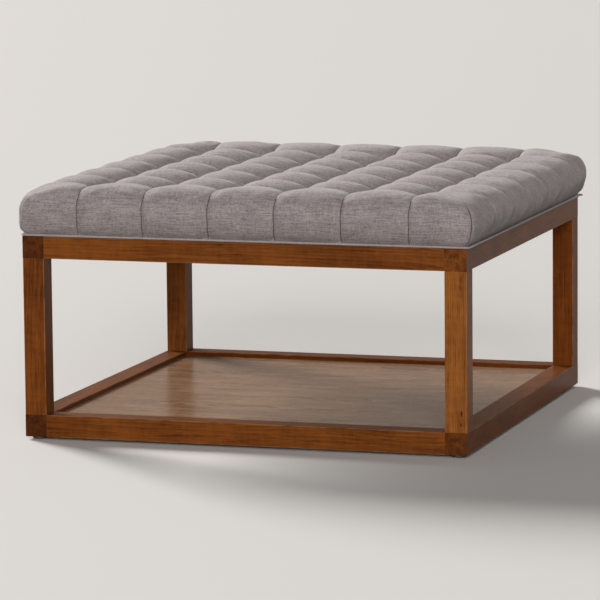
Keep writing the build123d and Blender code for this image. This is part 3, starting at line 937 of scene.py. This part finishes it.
def sharpenSeams(mesh, grid):
    # Draws the stitched lines in a little more, and creases them.
    points = readPoints(mesh)
    onX, onY, corner = seamMasks(grid)
    normals = readValues(mesh.vertices, "normal", 3, float)
    top, side = stitches["topDepth"], stitches["sideDepth"]
    depth = np.where(grid[:, 2] == 0, top, side) * (onX | onY)
    depth = np.where(corner & (grid[:, 2] < 0), side, depth)
    points -= normals * depth[:, None]
    writePoints(mesh, points)
    seam = onX | onY | corner
    one, other = readValues(mesh.edges, "vertices", 2).T
    both = seam[one] & seam[other]
    alongX = (grid[one, 0] == grid[other, 0]) & (onX | corner)[one]
    alongY = (grid[one, 1] == grid[other, 1]) & (onY | corner)[one]
    crease = mesh.attributes.new("crease_edge", "FLOAT", "EDGE")
    sharp = np.where(both & (alongX | alongY), stitches["crease"], 0)
    crease.data.foreach_set("value", sharp.astype(np.float32))


hem = {
    "width": 0.050,
    "height": 0.35015,
    "turn": (0.0016, 0.35215),  # outside the board, where the cloth turns under, and its height
    "turnShift": 0.3,
    "clear": 0.0004,
    "below": 0.0001,
    "above": 0.0003,
    "overBoard": 0.030,
}


def closeCushion(mesh):
    # Turns the cover in under the board as a hem, then up round the board and over it.
    bm = bmesh.new()
    bm.from_mesh(mesh)
    turnOut, turnHeight = hem["turn"]
    outside, inside = boardHigh.x + hem["clear"], boardHigh.x - hem["width"]
    below, above = boardLow.z - hem["below"], boardHigh.z + hem["above"]
    loops = [  # half width, height and share of the sideways shift
        (boardHigh.x + turnOut, turnHeight, hem["turnShift"]),
        (outside, hem["height"], 0.0),
        (inside, hem["height"], 0.0),
        (inside, below, 0.0),
        (outside, below, 0.0),
        (outside, above, 0.0),
        (boardHigh.x - hem["overBoard"], above, 0.0),
    ]
    for half, height, share in loops:
        corners = drawOutBorder(bm)
        centre = (max(c.co.x for c in corners) + min(c.co.x for c in corners)) / 2
        for corner in corners:
            x, y = corner.co.x - centre, corner.co.y
            scale = half / max(abs(x), abs(y))
            corner.co = (x * scale + cushion["shift"][0] * share, y * scale, height)
    bmesh.ops.triangle_fill(bm, edges=openEdges(bm), use_beauty=True)
    bmesh.ops.recalc_face_normals(bm, faces=bm.faces)
    bm.to_mesh(mesh)
    bm.free()


def refine(obj):
    # Subdivides once, with the creases, and applies the result.
    smooth = obj.modifiers.new("smooth", "SUBSURF")
    smooth.levels = smooth.render_levels = 1
    depsgraph = bpy.context.evaluated_depsgraph_get()
    coarse, obj.data = obj.data, bpy.data.meshes.new_from_object(obj.evaluated_get(depsgraph))
    obj.modifiers.remove(smooth)
    bpy.data.meshes.remove(coarse)
    obj.data.name = obj.name
    return obj.data


def makeCushion():
    mesh = buildCoverGrid()
    obj = newObject("seat_cushion", mesh)
    grid = shapeCover(mesh)
    addClothMaps(mesh, grid)
    inflate(obj, grid)
    addPuckers(mesh, grid)
    sharpenSeams(mesh, grid)
    points = readPoints(mesh)
    low, high, reach = cushion["shift"]
    rise = np.clip((points[:, 2] - cushion["base"]) / reach, 0, 1)
    points[:, 0] += low + (high - low) * rise
    writePoints(mesh, points)
    mesh = refine(obj)
    closeCushion(mesh)
    shadeSmooth(mesh)
    return obj


weave = {
    "drift": ((40, 40, 40), 2.0),
    "driftWidth": 0.0016,
    "cross": 0.25,  # how soft the step from one yarn to the other is
    "yarn": (0.11, 7.3),  # stretch along a yarn, and the warp's seed
    "yarnNoise": (2.0, 0.6),
    "slub": (0.035, 0.45, 3.1),
    "slubNoise": (2.0, 0.55),
    "cloud": ((26, 38, 30), 3.0, 0.6),
    "mottle": ((190, 480, 300), 2.0, 0.6),
    "weights": {"yarn": 1.4, "slub": 1.6, "mottle": 0.95, "cloud": 0.45},
    "heights": {"over": 0.6, "crown": 0.4, "slub": 0.8},
}


def makeClothGroup():
    # Plain weave of heathered yarn. The vector is the cloth's own X and Y.
    inputs = {"Vector": "Vector", "Dark": "Color", "Light": "Color", "Pitch": "Float",
              "Slubs": "Float"}
    outputs = {"Color": "Color", "Height": "Float"}
    group, given, result = newGroup("heatherWeave", inputs, outputs)
    place = given["Vector"]
    drift = stretchedNoise(group, place, *weave["drift"])
    width = weave["driftWidth"]
    sway = calc(group, "MULTIPLY_ADD", drift, width, -width / 2)
    parts = separate(group, place)
    u = calc(group, "DIVIDE", calc(group, "ADD", parts[0], sway), given["Pitch"])
    v = calc(group, "DIVIDE", calc(group, "ADD", parts[1], sway), given["Pitch"])
    waveU = calc(group, "SINE", times(group, u, pi))
    waveV = calc(group, "SINE", times(group, v, pi))
    over = times(group, waveU, waveV)
    above = spread(group, over, -weave["cross"], weave["cross"])
    along, seed = weave["yarn"]
    weftPlace = combine(group, times(group, u, along), v)
    warpPlace = combine(group, u, times(group, v, along), seed)
    weft = noiseField(group, weftPlace, 1.0, *weave["yarnNoise"])
    warp = noiseField(group, warpPlace, 1.0, *weave["yarnNoise"])
    slubU, slubV, seed = weave["slub"]
    slubPlace = combine(group, times(group, u, slubU), times(group, v, slubV), seed)
    slub = noiseField(group, slubPlace, 1.0, *weave["slubNoise"])
    cloud = stretchedNoise(group, place, *weave["cloud"])
    mottle = stretchedNoise(group, place, *weave["mottle"])
    yarn = calc(group, "ADD", times(group, above, weft),
                times(group, calc(group, "SUBTRACT", 1.0, above), warp))
    weights, heights = weave["weights"], weave["heights"]
    tone = addCentred(group, yarn, weights["yarn"], 0.5)
    slubTone = times(group, calc(group, "SUBTRACT", slub, 0.5), given["Slubs"])
    tone = calc(group, "MULTIPLY_ADD", slubTone, weights["slub"], tone)
    tone = addCentred(group, mottle, weights["mottle"], tone)
    tone = addCentred(group, cloud, weights["cloud"], tone, clamp=True)
    crown = times(group, sumSquares(group, waveU, waveV), heights["crown"])
    height = calc(group, "MULTIPLY_ADD", calc(group, "ABSOLUTE", over), heights["over"], crown)
    fillInputs(group, result, {
        "Color": mixColour(group, tone, given["Dark"], given["Light"]),
        "Height": calc(group, "MULTIPLY_ADD", slub, heights["slub"], height)})
    return group


heatherWeave = makeClothGroup()


seatCloth = {
    "weave": {"Dark": (0.095, 0.079, 0.079, 1), "Light": (0.405, 0.352, 0.352, 1),
              "Pitch": 0.00125, "Slubs": 0.5},
    "seam": (0.0072, 0.0155),
    # the seams are darkened both as stitching and as painted shade in their creases
    "seamStitchAndShadeShare": 0.80,
    "seamStitchAndShadeColour": (0.045, 0.035, 0.033, 1),
    "seamHeight": -3.0,
    "surface": {"Roughness": 0.88, "Specular IOR Level": 0.25, "Sheen Weight": 0.20,
                "Sheen Roughness": 0.45},
    "bump": (0.5, 0.0003),
}


def makeSeatCloth():
    material, tree, shader = newMaterial("seat_cloth")
    place = addNode(tree, "ShaderNodeUVMap", uv_map="cloth").outputs[0]
    woven = placeGroup(tree, heatherWeave, {"Vector": place, **seatCloth["weave"]})
    parts = separate(tree, addNode(tree, "ShaderNodeUVMap", uv_map="cells").outputs[0])
    gaps = [calc(tree, "ABSOLUTE", calc(tree, "SUBTRACT", part, calc(tree, "ROUND", part)))
            for part in (parts[0], parts[1])]
    # painted shade: lines along the seams are darkened as stitching and as the shade that gathers
    # in their creases
    seam = spread(tree, calc(tree, "MINIMUM", *gaps), *seatCloth["seam"], 1.0, 0.0)
    share = times(tree, seam, seatCloth["seamStitchAndShadeShare"])
    colour = mixColour(tree, share, woven["Color"], seatCloth["seamStitchAndShadeColour"])
    height = calc(tree, "MULTIPLY_ADD", seam, seatCloth["seamHeight"], woven["Height"])
    surface = {"Base Color": colour, **seatCloth["surface"]}
    setSurface(tree, shader, surface, height, seatCloth["bump"])
    return material


def makePlainCloth(name, cloth):
    material, tree, shader = newMaterial(name)
    bias = addNode(tree, "ShaderNodeMapping",
                   {0: objectPlace(tree), "Rotation": (0, 0, cloth["turn"])}).outputs[0]
    woven = placeGroup(tree, heatherWeave, {"Vector": bias, **cloth["weave"]})
    surface = {"Base Color": woven["Color"], **cloth["surface"]}
    setSurface(tree, shader, surface, woven["Height"], cloth["bump"])
    return material


seatCushion = makeCushion()
paint(seatCushion, makeSeatCloth())
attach(seatCushion, "root")
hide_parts("seat_cover", "seat_foam", "seat_wadding")
print("cushion made")


weltLow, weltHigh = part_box("seat_piping")

welt = {
    "radius": 0.0018,
    "half": weltHigh.x - 0.0019,
    "height": (weltLow.z + weltHigh.z) / 2,
    "shift": 0.002,
    "corner": 0.007,
    "pull": 0.5523,  # a round corner's handles, as a share of its radius
    "tailInset": 0.003,
    "tailSteps": 3,
    "tail": (0.006, 0.002, 0.0012),  # its loose end, at the back right corner
}

weltCloth = {
    "turn": pi / 4,  # cut on the bias
    "weave": {"Dark": (0.170, 0.145, 0.145, 1), "Light": (0.380, 0.335, 0.338, 1),
              "Pitch": 0.0009, "Slubs": 0.3},
    "surface": {"Roughness": 0.85, "Sheen Weight": 0.25},
    "bump": (0.5, 0.0002),
}


def makeWelt():
    curve = bpy.data.curves.new("seat_welt", "CURVE")
    curve.dimensions = "3D"
    curve.bevel_depth = welt["radius"]
    curve.bevel_resolution = 3
    curve.resolution_u = 6
    spline = curve.splines.new("BEZIER")
    half, corner = welt["half"], welt["corner"]
    pull, flat = corner * welt["pull"], half - corner
    straight = 2 * flat / 3
    points = []
    for quarter in range(4):
        turn = Matrix.Rotation(quarter * pi / 2, 3, "Z")
        for x in (-flat, flat):
            points.append((turn @ Vector((x, -half, 0)), turn @ Vector((1, 0, 0))))
    spline.bezier_points.add(len(points) - 1)
    offset = Vector((welt["shift"], 0, welt["height"]))
    for index, (place, aim) in enumerate(points):
        knot = spline.bezier_points[index]
        before, after = (pull, straight) if index % 2 == 0 else (straight, pull)
        knot.co = place + offset
        knot.handle_left = place - aim * before + offset
        knot.handle_right = place + aim * after + offset
    spline.use_cyclic_u = True
    tail = curve.splines.new("POLY")
    tail.points.add(welt["tailSteps"])
    start = half - welt["tailInset"]
    reach, drift, rise = welt["tail"]
    for index, point in enumerate(tail.points):
        share = index / welt["tailSteps"]
        place = Vector((start + reach * share, start + drift * share,
                        rise * share * (1 - 2 * share)))
        point.co = (*(place + offset), 1)
    curve.use_fill_caps = True
    holder = bpy.data.objects.new("welt_curve", curve)
    mesh = bpy.data.meshes.new_from_object(holder)
    bpy.data.objects.remove(holder)
    mesh.name = "seat_welt"
    shadeSmooth(mesh)
    return newObject("seat_welt", mesh)


seatWelt = makeWelt()
paint(seatWelt, makePlainCloth("welt_cloth", weltCloth))
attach(seatWelt, "root")
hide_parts("seat_piping")
print("welt made")


liningLow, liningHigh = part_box("dust_cover")

lining = {
    "steps": 48,
    "below": 0.0001,
    "sag": 0.0004,
    "wave": (0.00012, 6, 1.7),  # depth, number and seed
    "wall": 0.0002,
}

liningCloth = {
    "turn": 0,
    "weave": {"Dark": (0.010, 0.010, 0.011, 1), "Light": (0.045, 0.044, 0.045, 1),
              "Pitch": 0.0011, "Slubs": 0.2},
    "surface": {"Roughness": 0.9},
    "bump": (0.4, 0.0002),
}


def makeLining():
    width, depth = liningHigh.x - liningLow.x, liningHigh.y - liningLow.y
    bm = bmesh.new()
    bmesh.ops.create_grid(bm, x_segments=lining["steps"], y_segments=lining["steps"], size=0.5)
    bmesh.ops.scale(bm, verts=bm.verts, vec=(width, depth, 1))
    top = liningHigh.z - lining["below"]
    height, waves, seed = lining["wave"]
    for vert in bm.verts:
        x, y = vert.co.x / width * 2, vert.co.y / depth * 2
        belly = (1 - x * x) * (1 - y * y)
        wave = noise.noise(Vector((x * waves, y * waves, seed))) * height * belly
        vert.co.z = top - lining["sag"] * belly + wave
    bmesh.ops.recalc_face_normals(bm, faces=bm.faces)
    obj = newObject("seat_lining", meshFrom(bm, "seat_lining"))
    shadeSmooth(obj.data)
    wall = obj.modifiers.new("wall", "SOLIDIFY")
    wall.thickness = lining["wall"]
    return obj, (width, depth)


seatLining, liningSize = makeLining()
paint(seatLining, makePlainCloth("lining_cloth", liningCloth))
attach(seatLining, "root")
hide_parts("dust_cover")
print("lining made")


studio = {
    "floorRadius": 45,
    "floorRoughness": 0.7,
    "floorColour": (0.60, 0.585, 0.57, 1),
    "floorBounce": (0.13, 0.112, 0.098, 1),  # what the floor throws back on the object
    "worldLight": (0.100, 0.100, 0.102, 1),
    "worldSeen": (0.440, 0.385, 0.340, 1),  # the pale room that shows in smooth surfaces
}

# Direction that each lamp shines from, strength, width in degrees and colour
lamps = {
    "key": ((-0.63, 0.45, 0.37), 5.05, 20, (1.0, 0.98, 0.955)),
    "fill": ((0.24, -0.91, 0.28), 2.90, 32, (1.0, 0.98, 0.96)),
}


def seenDirectly(tree):
    rays = addNode(tree, "ShaderNodeLightPath").outputs
    seen = calc(tree, "MAXIMUM", rays["Is Camera Ray"], rays["Is Glossy Ray"])
    return calc(tree, "MAXIMUM", seen, rays["Is Transmission Ray"])


def makeStudio():
    bm = bmesh.new()
    bmesh.ops.create_circle(bm, cap_ends=True, segments=64, radius=studio["floorRadius"])
    floor = newObject("floor", meshFrom(bm, "floor"))
    material, tree, shader = newMaterial("pale_floor")
    colour = mixColour(tree, seenDirectly(tree), studio["floorBounce"], studio["floorColour"])
    fillInputs(tree, shader, {"Base Color": colour, "Roughness": studio["floorRoughness"]})
    paint(floor, material)
    world = bpy.data.worlds.new("studio")
    world.use_nodes = True
    tree = world.node_tree
    colour = mixColour(tree, seenDirectly(tree), studio["worldLight"], studio["worldSeen"])
    fillInputs(tree, tree.nodes["Background"], {"Color": colour})
    bpy.context.scene.world = world
    for name, (source, strength, width, colour) in lamps.items():
        data = bpy.data.lights.new(name, "SUN")
        data.energy = strength
        data.angle = radians(width)
        data.color = colour
        lamp = newObject(name, data)
        lamp.rotation_euler = Vector(source).to_track_quat("Z", "Y").to_euler()
    bpy.context.scene.view_settings.view_transform = "Standard"


makeStudio()
print("studio lit")
